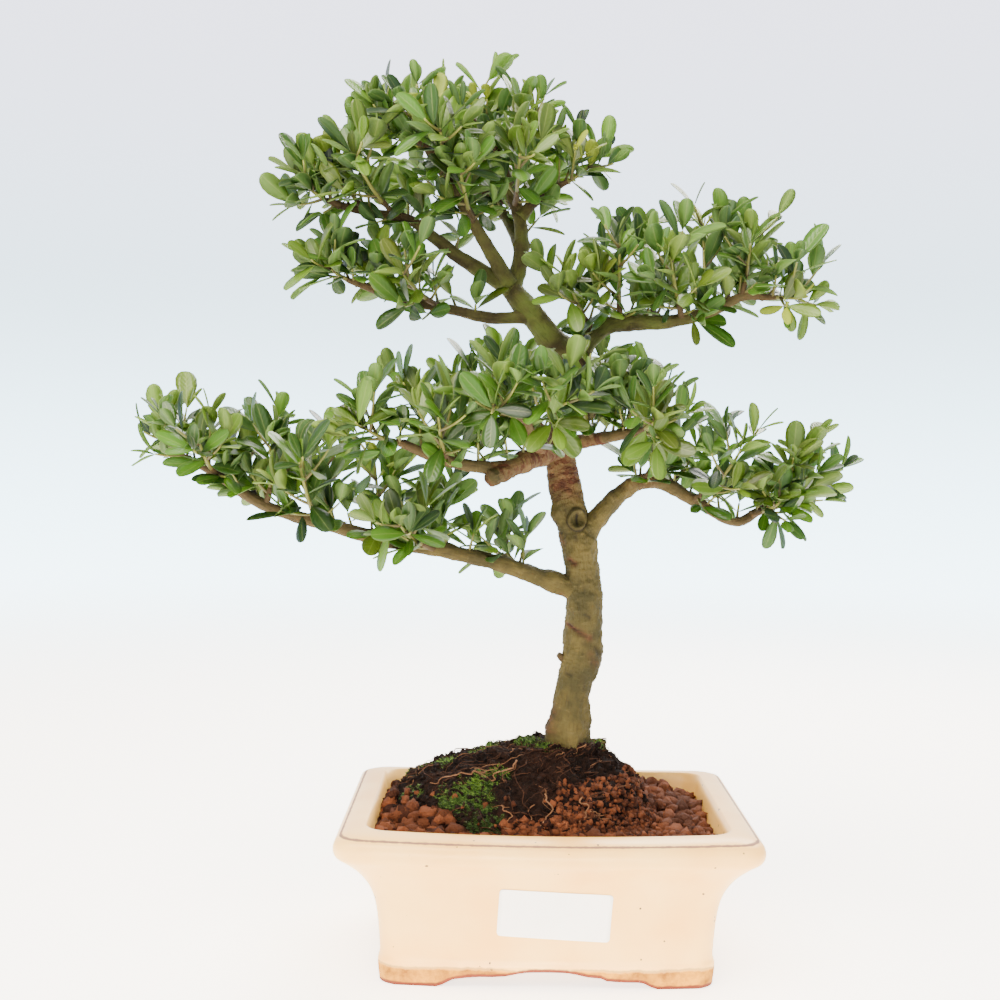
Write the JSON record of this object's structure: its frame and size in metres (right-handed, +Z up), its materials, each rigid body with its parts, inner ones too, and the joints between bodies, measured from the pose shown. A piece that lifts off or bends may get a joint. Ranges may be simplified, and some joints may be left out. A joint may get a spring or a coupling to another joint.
{
  "type": "japanese holly bonsai",
  "caption": "Small-leaved evergreen bonsai: an upright trunk with layered leafy pads, rooted in a mound of soil in a cream glazed rectangular pot with corner feet.",
  "frame": {"origin": "under the middle of the whole plant's bounding box, on the plane that the pot's feet stand on", "axes": "+Z up, the tallest way; -Y towards the front face with the label; +X to the right of someone facing that front"},
  "size_m": [0.3394, 0.1836, 0.4216],
  "materials": {
    "glaze": "cream glaze, gloss worn off at the rim",
    "paper": "plain white sticker",
    "net": "black plastic net",
    "akadama": "red-brown baked clay granules",
    "peat": "dark crumbly peat full of roots",
    "bark": "thin olive-brown bark",
    "leaf": "smooth, slightly glossy leaf"
  },
  "bodies": {
    "root": {"pot": "glaze", "label": "paper", "drain_screen": "net", "akadama_bed": "akadama", "root_ball": "peat", "wood": "bark", "spray_crown_1": "leaf", "spray_crown_2": "leaf", "spray_crown_3": "leaf", "spray_crown_4": "leaf", "spray_crown_5": "leaf", "spray_crown_6": "leaf", "spray_crown_7": "leaf", "spray_crown_8": "leaf", "spray_crown_9": "leaf", "spray_crown_10": "leaf", "spray_crown_11": "leaf", "spray_crown_12": "leaf", "spray_crown_13": "leaf", "spray_crown_14": "leaf", "spray_crown_15": "leaf", "spray_under_crown_1": "leaf", "spray_under_crown_2": "leaf", "spray_under_crown_3": "leaf", "spray_right_up_1": "leaf", "spray_right_up_2": "leaf", "spray_right_up_3": "leaf", "spray_right_up_4": "leaf", "spray_right_up_5": "leaf", "spray_right_up_6": "leaf", "spray_right_up_7": "leaf", "spray_right_up_8": "leaf", "spray_middle_1": "leaf", "spray_middle_2": "leaf", "spray_middle_3": "leaf", "spray_middle_4": "leaf", "spray_middle_5": "leaf", "spray_middle_6": "leaf", "spray_middle_7": "leaf", "spray_middle_8": "leaf", "spray_middle_9": "leaf", "spray_back_1": "leaf", "spray_back_2": "leaf", "spray_back_3": "leaf", "spray_left_1": "leaf", "spray_left_2": "leaf", "spray_left_3": "leaf", "spray_left_4": "leaf", "spray_left_5": "leaf", "spray_left_6": "leaf", "spray_left_7": "leaf", "spray_left_8": "leaf", "spray_left_9": "leaf", "spray_left_10": "leaf", "spray_right_low_1": "leaf", "spray_right_low_2": "leaf", "spray_right_low_3": "leaf", "spray_right_low_4": "leaf", "spray_right_low_5": "leaf", "spray_right_low_6": "leaf"}
  },
  "joints": []
}
